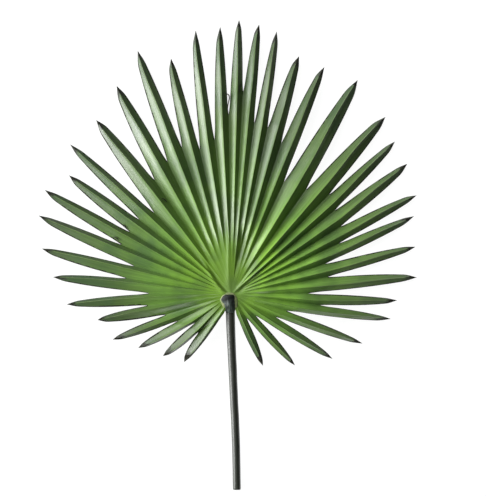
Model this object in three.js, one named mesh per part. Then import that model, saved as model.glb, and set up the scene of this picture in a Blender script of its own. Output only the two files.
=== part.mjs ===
// A fan palm leaf, cut with its stalk and laid flat on a surface, in millimetres with +Z up.
// The pleated blade rests on the tips of its longer segments and the stalk on its cut end, so the
// middle of the blade stands clear of the surface like the crown of a shallow umbrella.
// Three pieces: the blade, which is one folded sheet; the petiole, its stalk; and the hastula, the
// dark horny flap where the stalk ends on the blade's face.
//
// The blade is drawn from its centre, the point where all its folds meet. A place on it is a
// bearing, in degrees anticlockwise from +X, and a reach, the distance from the centre.
import * as THREE from "three";

// Each segment's tip as [bearing, reach], from the stalk's left side clockwise to its right side.
const TIPS = [
  [235, 105], [222, 117], [210, 137], [201, 162], [191, 174], [183.7, 211], [174.7, 229],
  [166.7, 250], [158, 266], [151, 273], [144, 257], [137.3, 281], [128, 281], [119, 303],
  [111.2, 333], [104.5, 310], [97.8, 339], [92.5, 341], [88.5, 350], [84.2, 345], [80.3, 340],
  [74.2, 315], [67.8, 312], [59.5, 317], [49, 299], [43, 285], [36.5, 279], [28, 267], [23, 253],
  [14.3, 242], [5, 237], [-2.3, 211], [-9, 205], [-20.8, 178], [-32.8, 152], [-48.5, 121],
  [-66.5, 99],
];
// Where the blade splits between neighbours, and first and last where its outer margins come free.
const SPLITS = [
  [248, 26], [229, 64], [218, 59], [206.5, 77], [197.5, 88], [187.8, 108], [179.6, 105],
  [171.6, 136], [164.2, 129], [156, 154], [148.8, 152], [141.3, 151], [133.8, 143], [124.2, 175],
  [116, 187], [108.8, 197], [102.5, 188], [96.4, 197], [91, 228], [86.8, 258], [82.5, 219],
  [77.8, 216], [71.8, 202], [65, 157], [54.5, 163], [45.5, 177], [39, 169], [31.7, 163],
  [25.2, 151], [17.8, 125], [10, 124], [0.4, 97], [-7.3, 113], [-17, 73], [-27.5, 63],
  [-42, 41], [-58, 36], [-77, 27],
];

const SHEET = 0.7; // thickness of the blade, measured straight down
const FUSED_STEPS = 8; // stations along a fold, from the centre to the splits
const FREE_STEPS = 9; // stations along a free segment, from its split to its tip
const RIDGE_SHARE = 0.58; // a ridge runs this far across its segment, from the left
const FOLD_TILT = 40; // degrees that each half of a segment leans
const TAPER = 0.44; // a free segment's half width grows as this power of the way from its tip
const SWELL = 1.2; // and its margins bow out by this much at the sides, less at the top
const SINUS = 0.8; // half the width of the rounded notch at a split
const SINUS_REACH = 5; // distance over which that notch opens

const CROWN = 28; // height of the blade's centre above the surface
const DROOP = 1.8; // the blade falls from its centre as this power of the reach
const SIDE_TOUCH = 236; // reach at which the side segments come down to the surface
const TOP_TOUCH = 352; // and the top ones
const TIP_LIFT = 7; // most that a tip stays above its neighbours

const FOLD_START = 14; // reach where the side folds begin
const FOLD_START_TOP = 46; // reach where the folds at the top begin
const FOLD_GROWTH = 60; // reach over which a fold comes to its full depth
const RIM_DROP = 4; // the hole for the stalk lies this far below the centre
const RIM_RADIUS = 5.2;

const STALK_LENGTH = 250; // from the blade's centre to the cut
const STALK_WIDTH = 5.4; // half the width
const STALK_DEPTH = 4.9; // half the depth
const STALK_FLARE = 1.3; // how much wider the stalk is, each way, where it meets the blade
const STALK_SIDES = 16;
const GAP = 0.35; // clearance between pieces that touch
const HASTULA_THICK = 4.6;
const HASTULA_ROUND = 1.3; // rounding of its edges

const rad = THREE.MathUtils.degToRad;
const { lerp, smoothstep } = THREE.MathUtils;

// The plan position of a place on the blade.
const plan = (bearing, reach) => [
  reach * Math.cos(rad(bearing)),
  reach * Math.sin(rad(bearing)),
];

// 0 at the blade's sides and below, rising to 1 at its top.
const topness = (bearing) => Math.max(0, Math.sin(rad(bearing))) ** 2;

// Height of the unfolded sheet.
function sheetHeight(bearing, reach) {
  const touch = lerp(SIDE_TOUCH, TOP_TOUCH, topness(bearing));
  return CROWN * (1 - Math.min(1, reach / touch) ** DROOP);
}

// How deep a fold is at a reach, as a share of its full depth.
function foldGrowth(bearing, reach) {
  const start = lerp(FOLD_START, FOLD_START_TOP, topness(bearing) ** 3);
  return smoothstep(reach, start, start + FOLD_GROWTH);
}

// Half the height between a ridge and a valley, for folds `spacing` degrees apart.
const foldDepth = (bearing, reach, spacing) =>
  0.25 * rad(spacing) * reach * Math.tan(rad(FOLD_TILT)) * foldGrowth(bearing, reach);

// The reach at which a fold leaves the round hole for the stalk.
function rimReach(bearing) {
  const across = RIM_DROP * Math.cos(rad(bearing));
  return -RIM_DROP * Math.sin(rad(bearing)) + Math.sqrt(RIM_RADIUS ** 2 - across ** 2);
}

const ridgeBearing = (i) => lerp(SPLITS[i][0], SPLITS[i + 1][0], RIDGE_SHARE);
const ridgeSplit = (i) => (SPLITS[i][1] + SPLITS[i + 1][1]) / 2;

// The angle between the folds on either side of valley j.
function valleySpacing(j) {
  const left = j === 0 ? SPLITS[0][0] : ridgeBearing(j - 1);
  const right = j === SPLITS.length - 1 ? SPLITS[j][0] : ridgeBearing(j);
  return left - right;
}

// A fold's stations from the hole out to where the blade splits. side is 1 on a ridge, -1 in a valley.
function foldLine(bearing, reach, spacing, side) {
  const start = rimReach(bearing);
  return Array.from({ length: FUSED_STEPS + 1 }, (_, k) => {
    const r = lerp(start, reach, k / FUSED_STEPS);
    const z = sheetHeight(bearing, r) + side * foldDepth(bearing, r, spacing);
    return new THREE.Vector3(...plan(bearing, r), z);
  });
}

const valleyLine = (j) => foldLine(SPLITS[j][0], SPLITS[j][1], valleySpacing(j), -1);
const ridgeLine = (i) =>
  foldLine(ridgeBearing(i), ridgeSplit(i), SPLITS[i][0] - SPLITS[i + 1][0], 1);

// A tip's height: the sheet comes down to the surface, and some segments curl up a little.
const tipLift = (i) => (TIP_LIFT / 2) * (1 + Math.sin(2.4 * i)) * Math.abs(Math.sin(0.9 * i));

// The ridge of a free segment, from the split to the tip.
function freeRidge(i) {
  const [bearing, reach] = TIPS[i];
  const from = ridgeSplit(i);
  const rise = foldDepth(ridgeBearing(i), from, SPLITS[i][0] - SPLITS[i + 1][0]);
  return Array.from({ length: FREE_STEPS + 1 }, (_, m) => {
    const way = m / FREE_STEPS;
    const r = lerp(from, reach, way);
    const b = lerp(ridgeBearing(i), bearing, way);
    const z = sheetHeight(b, r) + rise * (1 - way) + tipLift(i) * way ** 2 + SHEET * way;
    return new THREE.Vector3(...plan(b, r), z);
  });
}

// One free margin of a segment, from split j to the tip, hanging below the segment's ridge.
function freeMargin(i, j, ridge) {
  const axis = new THREE.Vector2(...plan(TIPS[i][0], 1));
  const out = new THREE.Vector2(-axis.y, axis.x);
  const split = new THREE.Vector2(...plan(...SPLITS[j]));
  const start = split.dot(axis);
  const width = split.dot(out);
  const valley = valleyLine(j)[FUSED_STEPS].z;
  const hang = ridge[0].z - valley;
  const swell = SWELL * (1 - 0.65 * axis.y);
  return ridge.map((crest, m) => {
    const way = m / FREE_STEPS;
    const along = lerp(start, TIPS[i][1], way);
    const notch = SINUS * (1 - Math.exp(-(along - start) / SINUS_REACH)) * (1 - way);
    const bow = swell * 4 * way * (1 - way);
    const share = (1 - way) ** TAPER;
    const across = width * share + Math.sign(width) * (bow - notch);
    const at = axis.clone().multiplyScalar(along).addScaledVector(out, across);
    return new THREE.Vector3(at.x, at.y, crest.z - hang * share);
  });
}

// A closed solid from a sheet's upper faces: the same faces turned over below, and a wall all round
// the open edges.
function thicken(points, faces, thickness) {
  const position = [...points, ...points.map((p) => p.clone().setZ(p.z - thickness))];
  const below = points.length;
  const index = [];
  const edges = new Set(faces.flatMap(([a, b, c]) => [`${a},${b}`, `${b},${c}`, `${c},${a}`]));
  for (const [a, b, c] of faces) {
    index.push(a, b, c, a + below, c + below, b + below);
    for (const [from, to] of [[a, b], [b, c], [c, a]]) {
      if (edges.has(`${to},${from}`)) continue;
      index.push(from, from + below, to, to, from + below, to + below);
    }
  }
  const geometry = new THREE.BufferGeometry().setFromPoints(position);
  geometry.setIndex(index);
  geometry.computeVertexNormals();
  return geometry;
}

function bladeGeometry() {
  const points = [];
  const faces = [];
  const add = (line) => line.map((p) => points.push(p) - 1);
  // Faces between two lines of point numbers, the left one first, seen from above.
  const span = (left, right) => {
    for (let k = 0; k + 1 < left.length; k++) {
      const [a, b, c, d] = [left[k], right[k], right[k + 1], left[k + 1]];
      if (c === d) faces.push([a, b, c]);
      else faces.push([a, b, c], [a, c, d]);
    }
  };
  const valleys = SPLITS.map((_, j) => add(valleyLine(j)));
  TIPS.forEach((_, i) => {
    const ridge = add(ridgeLine(i));
    span(valleys[i], ridge);
    span(ridge, valleys[i + 1]);

    const crest = freeRidge(i);
    const freeLine = [ridge[FUSED_STEPS], ...add(crest.slice(1))];
    const tip = freeLine[FREE_STEPS];
    const margin = (j) => [
      valleys[j][FUSED_STEPS],
      ...add(freeMargin(i, j, crest).slice(1, FREE_STEPS)),
      tip,
    ];
    span(margin(i), freeLine);
    span(freeLine, margin(i + 1));
  });
  return thicken(points, faces, SHEET);
}

// A closed solid through rings of points, each ring anticlockwise seen from the far end.
function loft(rings) {
  const sides = rings[0].length;
  const points = rings.flat();
  const centre = (ring) =>
    ring.reduce((sum, p) => sum.add(p), new THREE.Vector3()).divideScalar(sides);
  const first = points.push(centre(rings[0])) - 1;
  const last = points.push(centre(rings.at(-1))) - 1;
  const index = [];
  for (let s = 0; s < sides; s++) {
    const next = (s + 1) % sides;
    for (let k = 0; k + 1 < rings.length; k++) {
      const [a, b] = [k * sides + s, k * sides + next];
      index.push(a, b, b + sides, a, b + sides, a + sides);
    }
    const end = (rings.length - 1) * sides;
    index.push(first, next, s, last, end + s, end + next);
  }
  const geometry = new THREE.BufferGeometry().setFromPoints(points);
  geometry.setIndex(index);
  geometry.computeVertexNormals();
  return geometry;
}

function petioleGeometry() {
  const top = CROWN - SHEET - GAP - STALK_DEPTH - 0.3; // height of its middle under the blade
  const course = new THREE.CatmullRomCurve3([
    new THREE.Vector3(-2.2, 0, top),
    new THREE.Vector3(-1.6, -34, top - 2.4),
    new THREE.Vector3(1.7, -110, lerp(top, STALK_DEPTH, 0.46)),
    new THREE.Vector3(5.2, -190, lerp(top, STALK_DEPTH, 0.78)),
    new THREE.Vector3(6.3, -STALK_LENGTH, STALK_DEPTH),
  ]);
  const ring = (centre, halfWidth, halfDepth) =>
    Array.from({ length: STALK_SIDES }, (_, s) => {
      const turn = (s / STALK_SIDES) * 2 * Math.PI;
      const [x, z] = [halfWidth * Math.cos(turn), halfDepth * Math.sin(turn)];
      return new THREE.Vector3(centre.x + x, centre.y, centre.z + z);
    });
  const rings = [];
  // The rounded end under the blade, then the stalk down to its flat cut.
  for (const turn of [20, 50]) {
    const size = Math.sin(rad(turn));
    const end = course.getPoint(0).setY(STALK_DEPTH * Math.cos(rad(turn)) * 0.5);
    rings.push(ring(end, (STALK_WIDTH + STALK_FLARE) * size, STALK_DEPTH * size));
  }
  const steps = 22;
  for (let k = 0; k <= steps; k++) {
    const way = (k / steps) ** 1.4;
    const flare = STALK_FLARE * Math.exp(-way * 9);
    const width = lerp(STALK_WIDTH + 0.2, STALK_WIDTH - 0.2, way) + flare;
    rings.push(ring(course.getPointAt(way), width, STALK_DEPTH));
  }
  return loft(rings);
}

function hastulaGeometry() {
  const outline = new THREE.Shape();
  outline.moveTo(-6.4, -20.7);
  outline.bezierCurveTo(-6.9, -17, -10.8, -14, -11.6, -9.5);
  outline.bezierCurveTo(-12.2, -5, -10.4, -0.6, -6.5, -0.2);
  outline.lineTo(1.5, 0.2);
  outline.bezierCurveTo(4.2, 0.2, 5.2, -2, 5.2, -5);
  outline.bezierCurveTo(5.2, -11, 3.4, -16, 2.6, -20.7);
  outline.closePath();
  return new THREE.ExtrudeGeometry(outline, {
    depth: HASTULA_THICK - 2 * HASTULA_ROUND,
    bevelThickness: HASTULA_ROUND,
    bevelSize: HASTULA_ROUND,
    bevelSegments: 3,
    curveSegments: 5,
  }).translate(0, 0, CROWN + GAP + HASTULA_ROUND);
}

const leafGreen = new THREE.MeshStandardMaterial({ color: 0x6f9640, roughness: 0.45 });
const stalkGreen = new THREE.MeshStandardMaterial({ color: 0x4d5a4a, roughness: 0.5 });
const hornBrown = new THREE.MeshStandardMaterial({ color: 0x2e3631, roughness: 0.45 });

function piece(name, geometry, material) {
  const mesh = new THREE.Mesh(geometry, material);
  mesh.name = name;
  return mesh;
}

const leaf = new THREE.Group();
leaf.add(
  piece("blade", bladeGeometry(), leafGreen),
  piece("petiole", petioleGeometry(), stalkGreen),
  piece("hastula", hastulaGeometry(), hornBrown),
);

// The part's origin is at the middle of its footprint, on the surface that it lies on.
const box = new THREE.Box3().setFromObject(leaf);
const middle = box.getCenter(new THREE.Vector3());
leaf.position.set(-middle.x, -middle.y, -box.min.z);

export default leaf;
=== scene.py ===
"""The looks of a fan palm leaf lying face up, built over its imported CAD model.

The CAD model gives the blade's outline and the heights of its folds. Here the blade becomes a fine
pleated sheet with ribs, veins and dried margins, the stalk a ribbed stem with a cut end, and the
flap at their junction a horny knob. A thin collar round the knob and a few fibres torn from the
splits are added. Lengths are in metres.
"""
import math

import bmesh
import bpy
import numpy as np
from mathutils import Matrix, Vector, noise
from mathutils.bvhtree import BVHTree


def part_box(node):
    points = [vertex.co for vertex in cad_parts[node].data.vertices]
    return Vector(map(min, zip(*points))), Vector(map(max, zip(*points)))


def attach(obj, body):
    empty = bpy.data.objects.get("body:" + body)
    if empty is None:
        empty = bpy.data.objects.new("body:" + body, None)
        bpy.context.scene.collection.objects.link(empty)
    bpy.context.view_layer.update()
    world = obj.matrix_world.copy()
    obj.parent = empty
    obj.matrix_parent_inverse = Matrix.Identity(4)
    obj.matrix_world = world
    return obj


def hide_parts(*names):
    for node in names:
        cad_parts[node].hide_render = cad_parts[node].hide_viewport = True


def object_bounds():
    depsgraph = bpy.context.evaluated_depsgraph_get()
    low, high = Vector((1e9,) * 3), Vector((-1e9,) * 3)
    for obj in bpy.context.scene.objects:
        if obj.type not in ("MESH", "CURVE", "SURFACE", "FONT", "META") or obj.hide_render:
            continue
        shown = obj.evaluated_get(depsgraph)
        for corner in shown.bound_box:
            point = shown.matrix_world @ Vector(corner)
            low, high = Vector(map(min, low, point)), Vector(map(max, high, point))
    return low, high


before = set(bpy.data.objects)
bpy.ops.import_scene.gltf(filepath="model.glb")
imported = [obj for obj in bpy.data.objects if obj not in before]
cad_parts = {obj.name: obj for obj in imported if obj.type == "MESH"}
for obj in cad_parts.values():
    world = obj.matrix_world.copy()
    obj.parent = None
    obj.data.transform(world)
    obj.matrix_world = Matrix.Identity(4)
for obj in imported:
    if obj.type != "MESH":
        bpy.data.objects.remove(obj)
cad_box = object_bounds()

MM = 0.001

# The blade's centre, where all its folds meet, from the middle of the stalk's rounded end.
HUB_FROM_STALK_END = np.array([2.2 * MM, -2.3 * MM])
STALK_HOLE = 9.5 * MM  # the hole for the stalk lies within this reach
OUTER_SPLIT = 26.5 * MM  # reach where the two outer margins come free
CAD_RIDGE = 0.58  # a ridge of the CAD blade lies this far across its segment, from the left

# Rows of fine mesh along a segment, in its fused and in its free part.
FUSED_ROWS = 34
FREE_ROWS = 38
SHEET = 0.45 * MM  # thickness of the leaf's skin


def linear(code):
    """An sRGB hex colour as linear red, green, blue and alpha."""
    channels = [int(code[i : i + 2], 16) / 255 for i in (1, 3, 5)]
    return [c / 12.92 if c < 0.04045 else ((c + 0.055) / 1.055) ** 2.4 for c in channels] + [1]


def deselect():
    bpy.ops.object.select_all(action="DESELECT")


def select_only(*objects):
    deselect()
    for thing in objects:
        thing.select_set(True)
    bpy.context.view_layer.objects.active = objects[0]


def apply_modifier(thing, kind, **settings):
    select_only(thing)
    modifier = thing.modifiers.new(kind.lower(), kind)
    for name, value in settings.items():
        setattr(modifier, name, value)
    bpy.ops.object.modifier_apply(modifier=modifier.name)


def smoothstep(x, low, high):
    t = np.clip((x - low) / (high - low), 0, 1)
    return t * t * (3 - 2 * t)


# ---------------------------------------------------------------- what the CAD model gives


def find_hub():
    """The blade's centre, worked out from the stalk's upper end."""
    points = np.array([v.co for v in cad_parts["petiole"].data.vertices])
    end = points[points[:, 1] > points[:, 1].max() - 0.1 * MM]
    return (end[:, :2].min(0) + end[:, :2].max(0)) / 2 + HUB_FROM_STALK_END


def read_blade():
    """The CAD blade's upper edge as points in order, and a tree for reading its heights."""
    mesh = bmesh.new()
    mesh.from_mesh(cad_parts["blade"].data)
    bmesh.ops.remove_doubles(mesh, verts=mesh.verts, dist=1e-6)
    mesh.normal_update()
    hidden = [face for face in mesh.faces if face.normal.z < 0.1]
    bmesh.ops.delete(mesh, geom=hidden, context="FACES")
    tree = BVHTree.FromBMesh(mesh)
    beside = {
        v: [e.other_vert(v) for e in v.link_edges if e.is_boundary]
        for v in mesh.verts
        if v.is_boundary
    }
    before, here = None, next(iter(beside))
    edge = []
    while len(edge) < len(beside):
        edge.append(np.array(here.co))
        onward = next(v for v in beside[here] if v is not before)
        before, here = here, onward
    mesh.free()
    return np.array(edge), tree


hub = find_hub()
blade_edge, blade_tree = read_blade()


def polar(points):
    """Bearing in radians anticlockwise from straight down the stalk, and reach, from the hub."""
    across, up = points[..., 0] - hub[0], points[..., 1] - hub[1]
    return (np.arctan2(up, across) + math.pi / 2) % (2 * math.pi), np.hypot(across, up)


def place(bearing, reach):
    turn = bearing - math.pi / 2
    return np.stack([hub[0] + reach * np.cos(turn), hub[1] + reach * np.sin(turn)], -1)


def on_blade(plan):
    """Plan points lifted on to the CAD blade's face, or level with its nearest edge."""
    lifted = []
    for x, y in plan:
        hit = blade_tree.ray_cast(Vector((x, y, 1)), Vector((0, 0, -1)))[0]
        if hit is None:
            hit = blade_tree.find_nearest(Vector((x, y, cad_box[1][2] / 2)))[0]
        lifted.append((x, y, hit.z))
    return np.array(lifted)


def smooth_through(points, rows):
    """A smooth run of rows + 1 points through a few, by Catmull-Rom."""
    spare = [2 * points[0] - points[1], *points, 2 * points[-1] - points[-2]]
    spots = np.linspace(0, len(points) - 1, rows + 1)
    run = []
    for spot in spots:
        k = min(int(spot), len(points) - 2)
        t = spot - k
        a, b, c, d = spare[k : k + 4]
        run.append(
            0.5
            * (
                2 * b
                + (c - a) * t
                + (2 * a - 5 * b + 4 * c - d) * t**2
                + (3 * b - a - 3 * c + d) * t**3
            )
        )
    return np.array(run)


def soften(line, times):
    """A line with its heights evened out along it, and its ends kept."""
    line = line.copy()
    for _ in range(times):
        line[1:-1, 2] = (line[:-2, 2] + 2 * line[1:-1, 2] + line[2:, 2]) / 4
    return line


def find_folds():
    """Every segment's left edge, ridge and right edge, each a run of points from the hub out to the
    tip, in order from the stalk's left side clockwise to its right side."""
    bearing, reach = polar(blade_edge)
    # The edge is turned to begin with the hole for the stalk, at its left side.
    inside = reach < STALK_HOLE
    count = len(blade_edge)
    start = int(np.argmax(np.where(inside, bearing, 0)))
    step = 1 if inside[(start + 1) % count] else -1
    order = [(start + step * k) % count for k in range(count)]
    edge, bearing, reach = blade_edge[order], bearing[order], reach[order]
    hole = edge[: int(inside.sum())]

    # From the last of those points the edge runs out round the tips, right side first.
    out = np.arange(len(hole), count)
    tips = [k for k in out[1:-1] if reach[k] > max(reach[k - 1], reach[k + 1])]
    far = np.abs(reach - OUTER_SPLIT)
    splits = [int(out[0] + np.argmin(far[out[0] : tips[0]]))]
    splits += [int(a + np.argmin(reach[a:b])) for a, b in zip(tips, tips[1:])]
    splits.append(int(tips[-1] + np.argmin(far[tips[-1] :])))
    tips, splits = tips[::-1], splits[::-1]

    folds = []
    for i, tip in enumerate(tips):
        left, right = splits[i], splits[i + 1]
        middle = bearing[left] + (bearing[right] - bearing[left]) * CAD_RIDGE
        split_reach = (reach[left] + reach[right]) / 2
        inner = np.linspace(0, 1, FUSED_ROWS + 1)[:, None]
        fused = [
            soften(on_blade(start[:2] + (end[:2] - start[:2]) * inner), 6)
            for start, end in zip(
                hole[2 * i : 2 * i + 3], (edge[left], place(middle, split_reach), edge[right])
            )
        ]
        way = np.linspace(0, 1, FREE_ROWS + 1)
        crest = place(
            middle + (bearing[tip] - middle) * way, split_reach + (reach[tip] - split_reach) * way
        )
        free = [
            smooth_through(edge[tip : left + 1][::-1], FREE_ROWS),
            soften(on_blade(crest), 6),
            smooth_through(edge[right : tip + 1], FREE_ROWS),
        ]
        free[1][-1] = free[0][-1]
        folds.append([np.concatenate([a[:-1], b]) for a, b in zip(fused, free)])
    return folds


folds = find_folds()


# ---------------------------------------------------------------- materials

# A Mix node's sockets have no names of their own: these are their places.
NUMBER_A, NUMBER_B, COLOUR_A, COLOUR_B = 2, 3, 6, 7
NUMBER_OUT, COLOUR_OUT = 0, 2


def node(tree, kind, inputs=None, stops=None, **settings):
    """Adds a node. Each of its inputs is given a value, or another node's output to link."""
    new = tree.nodes.new(kind)
    for name, value in settings.items():
        setattr(new, name, value)
    for k, (spot, colour) in enumerate(stops or ()):
        stop = new.color_ramp.elements[k] if k < 2 else new.color_ramp.elements.new(spot)
        stop.position, stop.color = spot, colour
    for socket, value in (inputs or {}).items():
        if isinstance(value, bpy.types.NodeSocket):
            tree.links.new(value, new.inputs[socket])
        else:
            new.inputs[socket].default_value = value
    return new


def new_material(name):
    material = bpy.data.materials.new(name)
    material.use_nodes = True
    tree = material.node_tree
    return material, tree, tree.nodes["Principled BSDF"]


def streaks(tree, across, along):
    """Noise drawn out along the veins: so many streaks across a segment, and per metre along it."""
    spot = node(tree, "ShaderNodeUVMap").outputs["UV"]
    stretched = node(tree, "ShaderNodeMapping", {"Vector": spot, "Scale": (across, along, 1)})
    return node(
        tree,
        "ShaderNodeTexNoise",
        {"Vector": stretched.outputs["Vector"], "Scale": 1.0, "Detail": 3, "Roughness": 0.6},
        noise_dimensions="2D",
    ).outputs["Fac"]


def waxy_leaf():
    """Fresh palm leaf with its waxy cuticle: yellow-green and young at the centre, deeper green
    outward, streaked along its veins and drying towards its tips, with painted light and shade laid
    over it."""
    material, tree, shader = new_material("waxy_palm_leaf")
    gauge = {
        name: node(tree, "ShaderNodeAttribute", attribute_name=name).outputs["Fac"]
        for name in ("from_ridge", "to_tip", "outward", "tone_and_painted_light")
    }
    colour = node(
        tree,
        "ShaderNodeValToRGB",
        {"Fac": gauge["outward"]},
        stops=[
            (0.0, linear("#5d7f26")),
            (0.18, linear("#5f832a")),
            (0.4, linear("#567732")),
            (0.65, linear("#4d6534")),
            (1.0, linear("#3c4a33")),
        ],
    ).outputs["Color"]

    # Each vein is a little lighter or darker than the tissue beside it. Real veins, some 0.4 mm
    # apart, would be too fine to show, so they are drawn twice as coarse.
    vein = node(
        tree,
        "ShaderNodeMapRange",
        {
            "Value": streaks(tree, 26, 9),
            "From Min": 0.3,
            "From Max": 0.7,
            "To Min": 0.82,
            "To Max": 1.16,
        },
    ).outputs["Result"]
    colour = node(
        tree,
        "ShaderNodeMix",
        {"Factor": 1.0, COLOUR_A: colour, COLOUR_B: vein},
        data_type="RGBA",
        blend_type="MULTIPLY",
    ).outputs[COLOUR_OUT]

    # Each segment's own lightness, and painted light and shade by place in the blade and by half,
    # multiply the colour.
    colour = node(
        tree,
        "ShaderNodeMix",
        {"Factor": 1.0, COLOUR_A: colour, COLOUR_B: gauge["tone_and_painted_light"]},
        data_type="RGBA",
        blend_type="MULTIPLY",
    ).outputs[COLOUR_OUT]

    # Older, bluer tissue in soft patches some 40 mm long.
    where = node(tree, "ShaderNodeTexCoord").outputs["Object"]
    patch = node(tree, "ShaderNodeTexNoise", {"Vector": where, "Scale": 1 / (40 * MM), "Detail": 2.0})
    patch = node(
        tree,
        "ShaderNodeMapRange",
        {
            "Value": patch.outputs["Fac"],
            "From Min": 0.45,
            "From Max": 0.65,
            "To Min": 0.0,
            "To Max": 0.5,
        },
    ).outputs["Result"]
    colour = node(
        tree,
        "ShaderNodeMix",
        {"Factor": patch, COLOUR_A: colour, COLOUR_B: linear("#354d32")},
        data_type="RGBA",
    ).outputs[COLOUR_OUT]

    # The rib along each ridge is paler and yellower.
    pale = node(
        tree,
        "ShaderNodeMapRange",
        {
            "Value": gauge["from_ridge"],
            "From Min": 0.2 * MM,
            "From Max": 0.9 * MM,
            "To Min": 0.3,
            "To Max": 0.0,
        },
    ).outputs["Result"]
    colour = node(
        tree,
        "ShaderNodeMix",
        {"Factor": pale, COLOUR_A: colour, COLOUR_B: linear("#7a9550")},
        data_type="RGBA",
    ).outputs[COLOUR_OUT]

    # Towards its tip each segment has begun to dry.
    dry_length = node(
        tree,
        "ShaderNodeMapRange",
        {
            "Value": streaks(tree, 3, 45),
            "From Min": 0.3,
            "From Max": 0.7,
            "To Min": 4 * MM,
            "To Max": 20 * MM,
        },
    ).outputs["Result"]
    past_fresh = node(
        tree, "ShaderNodeMath", {0: dry_length, 1: gauge["to_tip"]}, operation="SUBTRACT"
    ).outputs["Value"]
    dried = node(
        tree,
        "ShaderNodeMapRange",
        {"Value": past_fresh, "From Min": -3 * MM, "From Max": 3 * MM},
    ).outputs["Result"]
    colour = node(
        tree,
        "ShaderNodeMix",
        {"Factor": dried, COLOUR_A: colour, COLOUR_B: linear("#20241a")},
        data_type="RGBA",
    ).outputs[COLOUR_OUT]
    tree.links.new(colour, shader.inputs["Base Color"])

    # The wax is thinner in places, and gone where the leaf has dried.
    rough = node(
        tree,
        "ShaderNodeMapRange",
        {
            "Value": streaks(tree, 9, 22),
            "From Min": 0.3,
            "From Max": 0.7,
            "To Min": 0.27,
            "To Max": 0.4,
        },
    ).outputs["Result"]
    rough = node(
        tree,
        "ShaderNodeMix",
        {"Factor": dried, NUMBER_A: rough, NUMBER_B: 0.75},
        data_type="FLOAT",
    ).outputs[NUMBER_OUT]
    tree.links.new(rough, shader.inputs["Roughness"])
    shader.inputs["IOR"].default_value = 1.4
    shader.inputs["Coat Weight"].default_value = 0.35
    shader.inputs["Coat Roughness"].default_value = 0.25
    bump = node(
        tree,
        "ShaderNodeBump",
        {"Height": streaks(tree, 30, 5), "Strength": 0.22, "Distance": 0.3 * MM},
    )
    tree.links.new(bump.outputs["Normal"], shader.inputs["Normal"])
    return material


def dried_margin():
    """Leaf tissue dried dark and matte: the thin outline of each free segment, and its point."""
    material, tree, shader = new_material("dried_leaf_margin")
    shade = node(
        tree,
        "ShaderNodeValToRGB",
        {"Fac": streaks(tree, 12, 60)},
        stops=[(0.35, linear("#10120c")), (0.65, linear("#25261b"))],
    )
    tree.links.new(shade.outputs["Color"], shader.inputs["Base Color"])
    shader.inputs["Roughness"].default_value = 0.85
    shader.inputs["Specular IOR Level"].default_value = 0.15
    bump = node(
        tree,
        "ShaderNodeBump",
        {"Height": streaks(tree, 12, 60), "Strength": 0.4, "Distance": 0.2 * MM},
    )
    tree.links.new(bump.outputs["Normal"], shader.inputs["Normal"])
    return material


def leaf_underside():
    """The blade's lower face: paler, greyer and duller, with the same veins."""
    material, tree, shader = new_material("dull_leaf_underside")
    vein = node(
        tree,
        "ShaderNodeValToRGB",
        {"Fac": streaks(tree, 26, 9)},
        stops=[(0.3, linear("#54703f")), (0.7, linear("#6f8a58"))],
    )
    tree.links.new(vein.outputs["Color"], shader.inputs["Base Color"])
    shader.inputs["Roughness"].default_value = 0.6
    bump = node(
        tree,
        "ShaderNodeBump",
        {"Height": streaks(tree, 30, 5), "Strength": 0.4, "Distance": 0.3 * MM},
    )
    tree.links.new(bump.outputs["Normal"], shader.inputs["Normal"])
    return material


def grained(name, dark, light, stretch, scale, roughness, bump_height):
    """A skin mottled in two colours, with a bump of its own. stretch draws its grain out."""
    material, tree, shader = new_material(name)
    where = node(tree, "ShaderNodeTexCoord").outputs["Object"]
    where = node(tree, "ShaderNodeMapping", {"Vector": where, "Scale": stretch}).outputs["Vector"]
    grain = node(tree, "ShaderNodeTexNoise", {"Vector": where, "Scale": scale, "Detail": 5.0})
    colour = node(
        tree,
        "ShaderNodeValToRGB",
        {"Fac": grain.outputs["Fac"]},
        stops=[(0.32, linear(dark)), (0.68, linear(light))],
    ).outputs["Color"]
    tree.links.new(colour, shader.inputs["Base Color"])
    shader.inputs["Roughness"].default_value = roughness
    bump = node(
        tree,
        "ShaderNodeBump",
        {"Height": grain.outputs["Fac"], "Strength": 0.6, "Distance": bump_height},
    )
    tree.links.new(bump.outputs["Normal"], shader.inputs["Normal"])
    return material


def horn():
    """Dry horn: grey-green and slightly glossy, matte towards its upper lip, and nearly black there by
    a painted shade.
    """
    glossy, matte = 0.36, 0.7
    material = grained(
        "dry_horn", "#181e1a", "#46524b", (1, 0.35, 1), 1 / (2.5 * MM), glossy, 0.3 * MM
    )
    tree = material.node_tree
    shader = tree.nodes["Principled BSDF"]
    colour = shader.inputs["Base Color"].links[0].from_socket
    where = node(tree, "ShaderNodeTexCoord").outputs["Object"]
    lip = node(
        tree,
        "ShaderNodeMapRange",
        {
            "Value": node(tree, "ShaderNodeSeparateXYZ", {"Vector": where}).outputs["Y"],
            "From Min": float(hub[1]) - 12 * MM,
            "From Max": float(hub[1]) - 5 * MM,
        },
    ).outputs["Result"]
    # Painted shade: from 12 mm below the hub up to 5 mm below it the colour goes nearly black.
    colour = node(
        tree,
        "ShaderNodeMix",
        {"Factor": lip, COLOUR_A: colour, COLOUR_B: linear("#0f1412")},
        data_type="RGBA",
    ).outputs[COLOUR_OUT]
    tree.links.new(colour, shader.inputs["Base Color"])
    rough = node(
        tree, "ShaderNodeMix", {"Factor": lip, NUMBER_A: glossy, NUMBER_B: matte}, data_type="FLOAT"
    ).outputs[NUMBER_OUT]
    tree.links.new(rough, shader.inputs["Roughness"])
    return material


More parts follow.
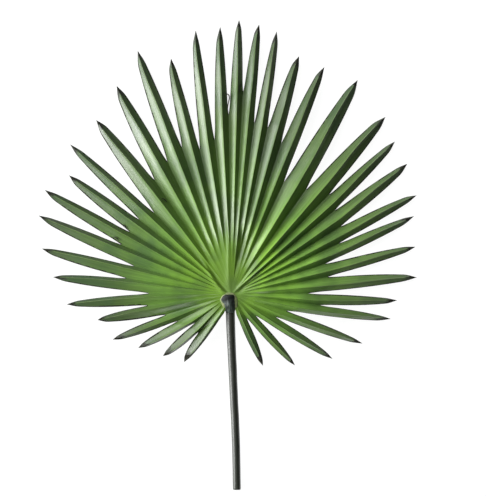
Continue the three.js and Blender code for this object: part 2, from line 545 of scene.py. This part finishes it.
def stalk_skin():
    """Hard, smooth petiole rind: dark green-grey with long fine fibres under a waxy gloss."""
    material = grained(
        "fibrous_petiole_rind", "#191d14", "#252b20", (1, 0.03, 1), 1 / (1.2 * MM), 0.44, 0.06 * MM
    )
    shader = material.node_tree.nodes["Principled BSDF"]
    shader.inputs["Coat Weight"].default_value = 1.0
    shader.inputs["Coat Roughness"].default_value = 0.46
    return material


# ---------------------------------------------------------------- blade

RIB = 0.3 * MM  # height of the rib along a ridge
RIB_WIDTH = 0.5 * MM
ROLL = 0.2 * MM  # how far a free margin rolls under
ROLL_WIDTH = 1.7 * MM  # the margin that rolls and dries
BULGE = 0.025  # how far each half swells, as a share of its width
WANDER = 0.8 * MM  # how far a free ridge wanders up and down
TONE_SPREAD = 0.16  # how far the segments differ in lightness
VALLEY_ROUND = 0.5  # how far a fused fold is rounded out in its valley: 1 makes it level there

# Bearings in degrees anticlockwise from straight down the stalk.
RIGHT_SIDE, TOP, LEFT_SIDE = 90, 180, 262

skins = [waxy_leaf(), leaf_underside(), dried_margin()]
DRIED = 2  # the dried margins' place among the skins


def nearness(bearing, middle, spread):
    """1 at a bearing in degrees, fading to 0 away from it."""
    return np.exp(-(((np.degrees(bearing) - middle) / spread) ** 2))


def ridge_course(bearing, freed):
    """How far across a segment its ridge runs, from the left. freed is 0 to 1, split to tip."""
    # Beside the stalk on the left, the ridge runs near the stalk's side of each segment.
    low = smoothstep(np.degrees(bearing), 280, 302)
    leaning = (0.58 + 0.16 * nearness(bearing, LEFT_SIDE, 32)) * (1 - low) + 0.24 * low
    # Towards the tips it drifts to the left, and it sets out sooner on the upper right.
    drift = (0.16 - 0.1 * nearness(bearing, LEFT_SIDE, 40)) * (1 - low)
    early = 0.3 * nearness(bearing, 125, 30)
    return leaning - drift * smoothstep(freed + early, 0.35, 0.95)


def fold_growth(points):
    """0 where the blade is still smooth round the flap, 1 where its folds have their full depth."""
    bearing, reach = polar(points)
    above = 1 - smoothstep(np.abs(np.degrees(bearing) - TOP), 24, 44)
    start = (9 + 25 * above) * MM
    return smoothstep(reach, start, start + (24 + 16 * above) * MM)


def deeper_fold(points):
    """How much further than in the CAD model a ridge rises, and a valley sinks, near the hub."""
    bearing, reach = polar(points)
    inner = fold_growth(points) * (1 - smoothstep(reach, 90 * MM, 170 * MM))
    shallow = 0.75 * nearness(bearing, LEFT_SIDE, 40) + 1.25 * nearness(bearing, 188, 32)
    return 0.012 * reach * inner * (1 - shallow)


def levelled(points):
    """How far the folds are levelled out: 1 leaves none. They hardly show above the flap, and are
    flatter towards the tips on the left."""
    bearing, reach = polar(points)
    above = 1 - smoothstep(np.abs(np.degrees(bearing) - 188), 18, 40)
    left = nearness(bearing, LEFT_SIDE, 30) * smoothstep(reach, 90 * MM, 150 * MM)
    return 0.85 * above * (1 - smoothstep(reach, 34 * MM, 78 * MM)) + 0.35 * left


def beside_line(points, start, end):
    """How far along a line from its start plan points lie, and how far to its left, in mm."""
    start, end = np.array(start), np.array(end)
    way = (end - start) / np.linalg.norm(end - start)
    away = (points[..., :2] - hub) / MM - start
    return away @ way, away @ np.array([-way[1], way[0]])


def between(along, start, full, leave, end):
    """0 up to start, 1 from full to leave, and 0 again from end."""
    return smoothstep(along, start, full) * (1 - smoothstep(along, leave, end))


def crease(aside, depth, reach):
    """A step's profile across its line: as high on the left as it is low on the right, at reach."""
    return depth * aside / reach * np.exp(0.5 - (aside / reach) ** 2 / 2)


def hub_relief(points):
    """The creases round the flap, as heights. Their lines and depths are in mm, from the hub."""
    # A step down to the right from the flap's upper left corner, curving up to the left.
    along, aside = beside_line(points, (-6.0, 0.6), (-32.3, 38.8))
    aside = aside - 2.4 * np.sin(np.clip(along / 46, 0, 1) * math.pi)
    height = crease(aside, 1.4, 2.0) * between(along, -2, 5, 24, 62)

    # A long step down to the right, from the upper right corner.
    along, aside = beside_line(points, (3.0, 0.0), (73.7, 66.7))
    height += crease(aside, 1.4, 2.0) * between(along, 0, 10, 45, 95)

    # A crisp ridge straight up from the flap, steeper on its left.
    along, aside = beside_line(points, (-4.2, 0), (-4.6, 60))
    ridge = 1.3 * np.exp(-np.maximum(aside, 0) / 3 - np.maximum(-aside, 0) / 10)
    height += ridge * between(along, 1, 8, 46, 90)

    # To the right of the ridge a widening hollow, its left side the steeper one.
    along, aside = beside_line(points, (3.0, 25), (6.6, 70))
    right = np.maximum(-aside, 0)
    wide = 0.9 + 4.4 * smoothstep(along, 0, 38)
    hollow = 0.85 * np.minimum(right, wide) * np.exp(-np.maximum(right - wide, 0) / (5 * wide))
    height -= hollow * between(along, -1, 3, 40, 66)
    return height * MM


def tone_and_painted_light_of(points, side):
    """Painted light and shade: how much lighter or darker the left (side -1) or right (side 1) half of
    a segment is made.
    """
    bearing, reach = polar(points)
    left = nearness(bearing, LEFT_SIDE, 34)
    near_hub = 1 - smoothstep(reach, 90 * MM, 150 * MM)
    folded = fold_growth(points)
    # Painted light: lighter on the right, most of all in the upper halves, which face the lamps.
    tone_and_painted_light = 1 + 0.45 * nearness(bearing, RIGHT_SIDE, 44)
    tone_and_painted_light += folded * 0.5 * nearness(bearing, 102, 34) * (side < 0)
    # Painted light: lighter towards the hub on both sides, and in the right halves just left of the
    # top, which face away from the lamps.
    tone_and_painted_light += near_hub * (0.35 * nearness(bearing, RIGHT_SIDE, 46) + 0.45 * left)
    tone_and_painted_light += folded * near_hub * 0.5 * nearness(bearing, 205, 22) * (side > 0)
    # Painted shade: darker on the left, most of all in the narrow upper halves, which face away from
    # the lamps, and beside the stalk.
    tone_and_painted_light -= 0.1 * left + 0.35 * left * (side > 0)
    tone_and_painted_light -= 0.25 * nearness(bearing, 22, 24) + 0.15 * nearness(bearing, 325, 30)
    return tone_and_painted_light


def half_columns(width, margin):
    """Distances from the ridge to the columns of one half, close together at its rib and margin."""
    return [
        np.zeros_like(width),
        np.minimum(0.3 * MM, 0.06 * width),
        np.minimum(0.65 * MM, 0.15 * width),
        0.3 * width,
        0.5 * width,
        0.7 * width,
        width - margin,
        width - margin / 2,
        width,
    ]


def ridge_line(index, left, ridge, right, freed, along):
    """A segment's ridge between its two edges, a little deeper folded, levelled and uneven."""
    course = ridge_course(polar(ridge)[0], freed)[:, None]
    crest = left * (1 - course) + right * course
    crest[:, 2] = ridge[:, 2] + deeper_fold(ridge)
    rise = crest[:, 2] - (left[:, 2] + right[:, 2]) / 2
    crest[:, 2] -= rise * levelled(ridge)
    # It wanders most half way from split to tip.
    wander = [noise.noise(Vector((index * 3.7, distance * 30, 0))) * WANDER for distance in along]
    crest[:, 2] += np.array(wander) * freed * (1 - freed) * 4
    return crest


def half_points(crest, edge, width, distance, freed):
    """One column of a half: its points at a distance from the ridge."""
    share = distance / np.maximum(width, 1e-9)
    points = crest + (edge - crest) * share[:, None]
    folded = fold_growth(crest)
    rib = RIB * np.exp(-((distance / RIB_WIDTH) ** 2)) * np.minimum(1, width / (8 * MM)) * folded
    roll = ROLL * np.clip(1 - (width - distance) / ROLL_WIDTH, 0, 1) ** 2 * smoothstep(freed, 0, 0.1)
    swell = BULGE * width * 4 * share * (1 - share) * folded
    swell *= 1 - 0.8 * smoothstep(freed, 0, 0.2)
    hang = VALLEY_ROUND * (share - share**3) / 2 * (crest - edge)[:, 2]
    hang *= 1 - smoothstep(freed, 0, 0.12)
    points[:, 2] += rib - roll + swell - hang + hub_relief(points)
    return points


def dry_out(grid, index, along, across):
    """Gives the faces along a segment's free margins and at its tip the dried skin, raggedly."""
    for face in grid.data.polygons:
        row, column = divmod(face.index, across - 1)
        inward = min(column, across - 2 - column)
        half = 2 * column // (across - 1)
        ragged = noise.noise(Vector((along[row] * 140, index * 5.1, half * 3.3)))
        at_margin = row >= FUSED_ROWS and inward < 1 + (ragged > -0.12)
        at_tip = along[-1] - along[row] < (5 + 9 * ragged + inward) * MM
        if at_margin or at_tip:
            face.material_index = DRIED


def make_segment(index, left, ridge, right):
    """One segment as a grid, its columns across from the left edge and its rows out to the tip."""
    rows = len(ridge)
    along = np.linalg.norm(np.diff(ridge, axis=0, prepend=ridge[:1]), axis=1).cumsum()
    freed = (np.arange(rows) - FUSED_ROWS).clip(0) / FREE_ROWS
    crest = ridge_line(index, left, ridge, right, freed, along)
    # The dried margins are widest beside the stalk on the left.
    wider = 1 + 0.8 * nearness(polar(ridge)[0], 305, 28)
    own_tone = 1 + TONE_SPREAD * noise.noise(Vector((index * 2.3, 7, 0)))
    # Each column gets its segment's own lightness times the painted light and shade of its half.
    columns, from_ridge, tones_and_painted_light = [], [], []
    for side, edge in ((-1, left), (1, right)):
        edge = edge.copy()
        edge[:, 2] -= deeper_fold(edge)
        width = np.linalg.norm(edge - crest, axis=1)
        margin = np.minimum(ROLL_WIDTH * wider, 0.2 * width)
        for distance in half_columns(width, margin)[::side]:
            columns.append(half_points(crest, edge, width, distance, freed))
            from_ridge.append(distance)
            tones_and_painted_light.append(tone_and_painted_light_of(ridge, side) * own_tone)
    # Both halves have the ridge: one copy is enough.
    middle = len(columns) // 2
    for stack in (columns, from_ridge, tones_and_painted_light):
        del stack[middle]

    across = len(columns)
    deselect()
    bpy.ops.mesh.primitive_grid_add(x_subdivisions=across - 1, y_subdivisions=rows - 1)
    grid = bpy.context.object
    # A grid's points run across first, then along.
    grid.data.vertices.foreach_set("co", np.stack(columns, 1).ravel())
    # The last of these layers carries the painted light and shade.
    layers = {
        "from_ridge": from_ridge,
        "to_tip": [along[-1] - along] * across,
        "outward": [along / along[-1]] * across,
        "tone_and_painted_light": tones_and_painted_light,
    }
    for name, values in layers.items():
        layer = grid.data.attributes.new(name, "FLOAT", "POINT")
        layer.data.foreach_set("value", np.stack(values, 1).ravel())
    # U is the segment's number and the share across it, V the distance along it in metres.
    u, v = np.meshgrid(index + np.linspace(0.02, 0.98, across), along)
    spots = np.stack([u, v], -1).reshape(-1, 2)
    corners = np.empty(len(grid.data.loops), int)
    grid.data.loops.foreach_get("vertex_index", corners)
    grid.data.uv_layers[0].data.foreach_set("uv", spots[corners].ravel())
    for skin in skins:
        grid.data.materials.append(skin)
    dry_out(grid, index, along, across)
    return grid


segments = [make_segment(i, *fold) for i, fold in enumerate(folds)]
select_only(*segments)
bpy.ops.object.join()
blade = bpy.context.object
blade.name = "leaf_blade"
bpy.ops.object.mode_set(mode="EDIT")
bpy.ops.mesh.select_all(action="SELECT")
bpy.ops.mesh.remove_doubles(threshold=0.02 * MM)
bpy.ops.mesh.normals_make_consistent(inside=False)
bpy.ops.object.mode_set(mode="OBJECT")
# The lower face takes the next skin, the underside. The last skin, the dried one, goes through.
apply_modifier(blade, "SOLIDIFY", thickness=SHEET, offset=-1, material_offset=1)
bpy.ops.object.shade_smooth_by_angle(angle=math.radians(35))


# ---------------------------------------------------------------- stalk and flap

FLUTES = 13  # shallow ribs round the stalk
FLUTE_DEPTH = 0.03 * MM
CUT_DISH = 0.5 * MM  # the soft pith in the cut face has shrunk back this far
RIM_CREASE = 0.85  # how far the cut's rim keeps its edge when the stalk is smoothed


def copy_of(cad_node, name):
    """A CAD node's shape as a new object, with its loose triangles joined up."""
    twin = bpy.data.objects.new(name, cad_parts[cad_node].data.copy())
    twin.data.materials.clear()
    bpy.context.scene.collection.objects.link(twin)
    select_only(twin)
    bpy.ops.object.mode_set(mode="EDIT")
    bpy.ops.mesh.select_all(action="SELECT")
    bpy.ops.mesh.remove_doubles(threshold=0.001 * MM)
    bpy.ops.object.mode_set(mode="OBJECT")
    return twin


def reshape(thing, move):
    """Moves every point of a mesh by a function of its place."""
    for point in thing.data.vertices:
        point.co = move(point.co.copy())
    thing.data.update()


stalk = copy_of("petiole", "leaf_stalk")
cut_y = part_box("petiole")[0].y
mesh = bmesh.new()
mesh.from_mesh(stalk.data)
sharpness = mesh.edges.layers.float.new("crease_edge")
for rim in mesh.edges:
    # The point in the middle of the cut face has many more edges than those of the rim.
    if all(v.co.y < cut_y + 0.1 * MM and len(v.link_edges) < 9 for v in rim.verts):
        rim[sharpness] = RIM_CREASE
mesh.to_mesh(stalk.data)
mesh.free()
apply_modifier(stalk, "SUBSURF", levels=3, render_levels=3)

# The stalk's middle line, from the CAD model's full rings: x, z and half width against y.
rings = {}
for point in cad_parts["petiole"].data.vertices:
    rings.setdefault(round(point.co.y, 4), []).append(point.co)
middle_line = np.array(
    [
        (y, *((np.min(ring, 0) + np.max(ring, 0)) / 2)[[0, 2]], np.ptp(np.array(ring)[:, 0]) / 2)
        for y, ring in sorted(rings.items())
        if len(ring) > 20
    ]
)


def stalk_middle(y):
    """The stalk's middle and half width at a y."""
    return [float(np.interp(y, middle_line[:, 0], middle_line[:, k])) for k in (1, 2, 3)]


def flute(point):
    """Shallow ribs and an uneven skin, fading out at the blade, and a cut face dished by drying."""
    x, z, half = stalk_middle(point.y)
    out = Vector((point.x - x, 0, point.z - z))
    turn = math.atan2(out.z, out.x)
    free = float(smoothstep(hub[1] - point.y, 12 * MM, 40 * MM))
    depth = FLUTE_DEPTH * (0.5 - 0.5 * math.cos(FLUTES * turn)) * free
    depth += 0.18 * MM * noise.noise(Vector((math.cos(turn), math.sin(turn), point.y * 45)))
    size = min(1, out.length / half)
    point -= out.normalized() * depth * size**3
    if point.y < cut_y + 0.6 * MM:
        point.y += CUT_DISH * (1 - float(smoothstep(size, 0.55, 0.9)))
        point.y += 0.12 * MM * noise.noise(point * 900) * (1 - size)
    return point


reshape(stalk, flute)
select_only(stalk)
bpy.ops.object.shade_smooth_by_angle(angle=math.radians(40))
stalk.data.materials.append(stalk_skin())

# The flap and the pale collar that it grows from, each by its left and right side at a few
# distances up the leaf, in mm from the hub.
FLAP = {-23.6: (-8.6, 4.3), -18: (-9.7, 4.6), -14: (-10.6, 4.7), -10: (-12.8, 4.8), -6.5: (-13.9, 4.8),
        -3: (-12.2, 4.7), -0.5: (-10.6, 4.4)}
COLLAR = {-22: (-9.4, 5.4), -17: (-11.2, 7.4), -11: (-13.8, 7.6), -6.5: (-15.0, 7.5), -2: (-13.2, 6.6),
          2: (-10.0, 5.0)}
flap_low, flap_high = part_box("hastula")


def make_mound(name, outline, crest, fullness):
    """A rounded body over an outline. crest gives its top's height at a share from foot to head and
    a side from -1 to 1. It is a sphere with its poles at the foot and the head, filled out."""
    deselect()
    bpy.ops.mesh.primitive_uv_sphere_add(segments=72, ring_count=56, radius=1)
    mound = bpy.context.object
    mound.name = name
    bpy.ops.object.mode_set(mode="EDIT")
    bpy.ops.mesh.select_all(action="SELECT")
    bpy.ops.transform.rotate(value=math.radians(90), orient_axis="X", center_override=(0, 0, 0))
    bpy.ops.object.mode_set(mode="OBJECT")
    foot, head = min(outline), max(outline)
    ups = sorted(outline)

    def fill_out(point):
        ring = max(1 - point.y * point.y, 0) ** 0.5
        side, rise = (point.x / ring, point.z / ring) if ring > 1e-4 else (0, 0)
        full = ring**fullness
        share = (point.y + 1) / 2
        up = foot + (head - foot) * share
        left, right = (float(np.interp(up, ups, [outline[k][n] for k in ups])) for n in (0, 1))
        side = math.copysign(abs(side) ** 0.85, side)
        across = (left + right) / 2 + (right - left) / 2 * side * full
        top = crest(share, side)
        base = flap_low.z - 1.2 * MM
        height = base + (top - base) * max(rise, 0) ** 0.6 * full - max(-rise, 0) * full * 1.5 * MM
        return Vector((hub[0] + across * MM, hub[1] + up * MM, height))

    reshape(mound, fill_out)
    bpy.ops.object.shade_smooth()
    return mound


def flap_crest(share, side):
    """A lip along the head, a shallow hollow below it, and a run down on to the stalk. It falls
    away to the right, and to the left below the head."""
    lip = 0.7 * math.exp(-(((share - 0.9) / 0.08) ** 2))
    hollow = 0.5 * math.exp(-(((share - 0.68) / 0.12) ** 2))
    run_down = 4.4 * (1 - float(smoothstep(share, -0.15, 0.5)))
    grain = 0.3 * noise.noise(Vector((side * 5, share * 2.2, 0)))
    grain += 0.25 * noise.noise(Vector((side * 14, share * 9, 5)))
    lean = 1.6 * max(side + 0.2, 0) ** 2
    lean += 3.4 * max(-side, 0) * (1 - float(smoothstep(share, 0.5, 0.75)))
    return flap_high.z - 0.6 * MM + (lip - hollow - run_down + grain - lean) * MM


def collar_crest(share, side):
    ragged = 0.25 * noise.noise(Vector((side * 6, share * 8, 3)))
    return flap_low.z + (0.9 + ragged - 3.0 * (1 - float(smoothstep(share, 0, 0.35)))) * MM


flap = make_mound("stalk_flap", FLAP, flap_crest, 0.24)
flap.data.materials.append(horn())
collar = make_mound("flap_collar", COLLAR, collar_crest, 0.4)
collar.data.materials.append(
    grained("papery_membrane", "#62743e", "#8a8f68", (1, 1, 1), 1 / (3 * MM), 0.6, 0.2 * MM)
)


# ---------------------------------------------------------------- fibres at the splits

# Each strand's bends, in mm from the hub.
STRANDS = (
    ((-9.5, 257), (-7.5, 254.5), (-4.2, 253), (-3.2, 249), (-4.6, 241), (-5.4, 233)),
    ((-139.5, 88), (-136.5, 86.5), (-133, 83)),
    ((-150.5, 72.5), (-147, 71), (-143, 67.5)),
    ((-88.5, 121.5), (-85, 119.5), (-82, 116)),
    ((11.5, 268), (9.6, 262), (9.9, 256)),
)
STRAND_WIDTH = 1.5 * MM


def make_strand(bends):
    """One fibre torn from a split: a thin tube over its bends, tapering to both ends."""
    line = bpy.data.curves.new("strand", "CURVE")
    line.dimensions = "3D"
    line.bevel_depth = STRAND_WIDTH / 2
    line.bevel_resolution = 2
    line.use_fill_caps = True
    spots = on_blade(hub + np.array(bends) * MM)
    spots[:, 2] = soften(spots, 4)[:, 2] + STRAND_WIDTH
    run = smooth_through(spots, 18)
    spline = line.splines.new("POLY")
    spline.points.add(len(run) - 1)
    for k, (point, spot) in enumerate(zip(spline.points, run)):
        point.co = (*spot, 1)
        point.radius = 0.25 + 0.75 * math.sin(math.pi * (k + 1) / (len(run) + 1))
    strand = bpy.data.objects.new("strand", line)
    bpy.context.scene.collection.objects.link(strand)
    select_only(strand)
    bpy.ops.object.convert(target="MESH")
    return bpy.context.object


strands = [make_strand(bends) for bends in STRANDS]
select_only(*strands)
bpy.ops.object.join()
fibres = bpy.context.object
fibres.name = "split_fibres"
bpy.ops.object.shade_smooth()
fibres.data.materials.append(
    grained("dry_leaf_fibre", "#12120d", "#26261d", (1, 1, 1), 1 / (2 * MM), 0.8, 0.1 * MM)
)


# ---------------------------------------------------------------- floor, light and camera

# The floor lies just under the leaf, so that no face of the leaf lies in it.
deselect()
bpy.ops.mesh.primitive_plane_add(size=30, location=(0, 0, -0.5 * MM))
floor = bpy.context.object
floor.name = "floor"
paper, tree, shader = new_material("white_paper")
shader.inputs["Base Color"].default_value = linear("#5a5c5a")
shader.inputs["Roughness"].default_value = 0.9
shader.inputs["Emission Color"].default_value = linear("#ffffff")
shader.inputs["Emission Strength"].default_value = 0.95
floor.data.materials.append(paper)

LAMP_DISTANCE = 2.5  # lamps' sizes are in metres too, and their powers in watts


def add_light(name, azimuth, elevation, size, power):
    """A square white lamp facing the leaf's middle. Azimuths run anticlockwise from +X."""
    lamp = bpy.data.lights.new(name, "AREA")
    lamp.size = size
    lamp.energy = power
    holder = bpy.data.objects.new(name, lamp)
    bpy.context.scene.collection.objects.link(holder)
    turn, rise = math.radians(azimuth), math.radians(elevation)
    way = Vector((math.cos(turn) * math.cos(rise), math.sin(turn) * math.cos(rise), math.sin(rise)))
    holder.location = way * LAMP_DISTANCE
    holder.rotation_euler = way.to_track_quat("Z", "Y").to_euler()


add_light("window", azimuth=181, elevation=18, size=1.4, power=73)
add_light("left_sheen", azimuth=193, elevation=23, size=1.1, power=25)
add_light("low_left", azimuth=157, elevation=17, size=1.1, power=32)
add_light("upper_left", azimuth=140, elevation=46, size=2.0, power=56)
add_light("foot", azimuth=275, elevation=20, size=0.8, power=9)

world = bpy.data.worlds.new("studio")
world.use_nodes = True
world.node_tree.nodes["Background"].inputs["Color"].default_value = linear("#ffffff")
world.node_tree.nodes["Background"].inputs["Strength"].default_value = 0.015
bpy.context.scene.world = world

# The camera looks straight down, a little to the right of the hub and well above it.
CAMERA_AIM = (14.2 * MM, 58.2 * MM)
CAMERA_DISTANCE = 2.0
FRAME_HEIGHT = 0.635
lens = bpy.data.cameras.new("camera")
lens.sensor_fit = "VERTICAL"
lens.lens = CAMERA_DISTANCE * lens.sensor_height / FRAME_HEIGHT
camera = bpy.data.objects.new("camera", lens)
camera.location = (hub[0] + CAMERA_AIM[0], hub[1] + CAMERA_AIM[1], CAMERA_DISTANCE)
bpy.context.scene.collection.objects.link(camera)
bpy.context.scene.camera = camera
bpy.context.scene.view_settings.view_transform = "Standard"

for piece, slot in (
    (blade, "leaf_green"),
    (stalk, "stalk_green"),
    (flap, "horn_brown"),
    (collar, "stalk_green"),
    (fibres, "horn_brown"),
):
    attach(piece, "root")
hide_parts("blade")
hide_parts("petiole")
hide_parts("hastula")
